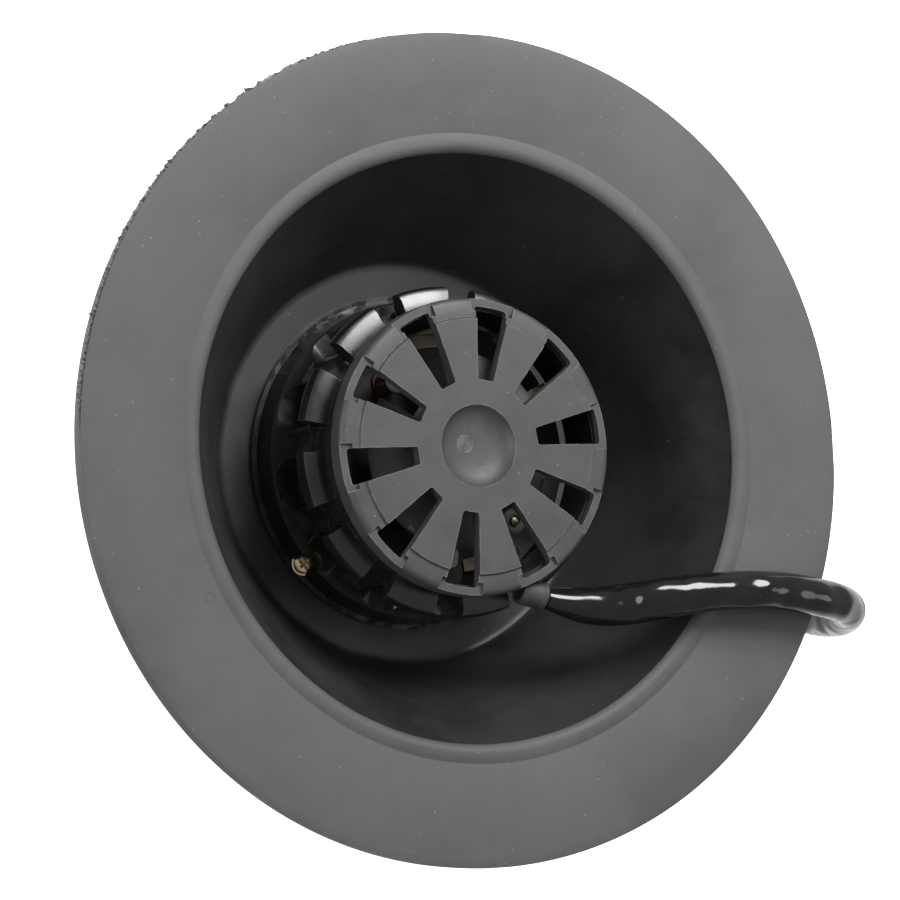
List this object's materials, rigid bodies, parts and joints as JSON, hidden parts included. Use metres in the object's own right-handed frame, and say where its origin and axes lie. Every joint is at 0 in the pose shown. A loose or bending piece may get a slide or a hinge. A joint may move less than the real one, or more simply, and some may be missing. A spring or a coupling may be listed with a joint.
{
  "type": "blower motor unit",
  "caption": "Brushed blower motor in a vented cage with slotted cap, sunk in a flanged carrier cup, with a sleeved lead and a squirrel-cage fan wheel.",
  "frame": {"origin": "on the motor axis, at the rim of the fan wheel's inlet ring, which the unit stands on", "axes": "+Z along the motor axis towards the cup's open side; +X towards the side where the lead leaves the flange"},
  "size_m": [0.2319, 0.21, 0.1008],
  "materials": {
    "carrier_rubber": "matt moulded",
    "cage_plastic": "satin moulded",
    "cap_plastic": "fine grained",
    "can_steel": "zinc plated",
    "clamp_steel": "black coated",
    "screw_zinc": "yellow zinc",
    "magnet_ferrite": "fired ceramic",
    "spring_steel": "drawn",
    "bearing_bronze": "sintered",
    "shaft_steel": "ground",
    "commutator_copper": "turned",
    "core_steel": "laminated",
    "insulator_fibre": "pressed fibre",
    "winding_copper": "enamelled",
    "card_laminate": "laminate",
    "holder_brass": "pressed",
    "brush_carbon": "pressed carbon",
    "choke_ferrite": "wound rod",
    "capacitor_shell": "dipped",
    "cover_plastic": "moulded",
    "fan_plastic": "moulded",
    "sleeve_vinyl": "gloss",
    "grommet_rubber": "soft",
    "connector_plastic": "natural nylon",
    "terminal_tin": "tinned"
  },
  "bodies": {
    "stator": {"carrier_cup": "carrier_rubber", "clamp_ring": "clamp_steel", "cage_screws": "screw_zinc", "motor_cage": "cage_plastic", "vent_cap": "cap_plastic", "lead_grommet": "grommet_rubber", "motor_can": "can_steel", "field_magnets": "magnet_ferrite", "magnet_clips": "spring_steel", "cap_bearing": "bearing_bronze", "drive_bearing": "bearing_bronze", "cap_bearing_retainer": "spring_steel", "drive_bearing_retainer": "spring_steel", "brush_card": "card_laminate", "brush_holder_a": "holder_brass", "brush_holder_b": "holder_brass", "brush_spring_a": "spring_steel", "brush_spring_b": "spring_steel", "choke_a": "choke_ferrite", "choke_b": "choke_ferrite", "suppression_capacitor": "capacitor_shell", "terminal_straps": "holder_brass", "brush_cover": "cover_plastic", "lead_sleeve": "sleeve_vinyl", "connector_housing": "connector_plastic", "connector_terminals": "terminal_tin"},
    "rotor": {"motor_shaft": "shaft_steel", "thrust_washers": "insulator_fibre", "commutator": "commutator_copper", "armature_core": "core_steel", "armature_insulators": "insulator_fibre", "armature_windings": "winding_copper", "fan_wheel": "fan_plastic", "wheel_clip": "spring_steel"},
    "brush_a_body": {"brush_a": "brush_carbon"},
    "brush_b_body": {"brush_b": "brush_carbon"}
  },
  "joints": [
    {"name": "rotor_spin", "type": "hinge", "parent": "stator", "child": "rotor", "pos_m": [0, 0, 0.044], "axis": [0, 0, 1], "continuous": true},
    {"name": "brush_a_slide", "type": "slide", "parent": "stator", "child": "brush_a_body", "axis": [0.8957, 0.4446, 0], "range_m": [0, 0.004], "stiffness_N_per_m": 60, "springref_m": -0.01, "deforming": ["brush_spring_a"]},
    {"name": "brush_b_slide", "type": "slide", "parent": "stator", "child": "brush_b_body", "axis": [-0.8957, -0.4446, 0], "range_m": [0, 0.004], "stiffness_N_per_m": 60, "springref_m": -0.01, "deforming": ["brush_spring_b"]}
  ]
}
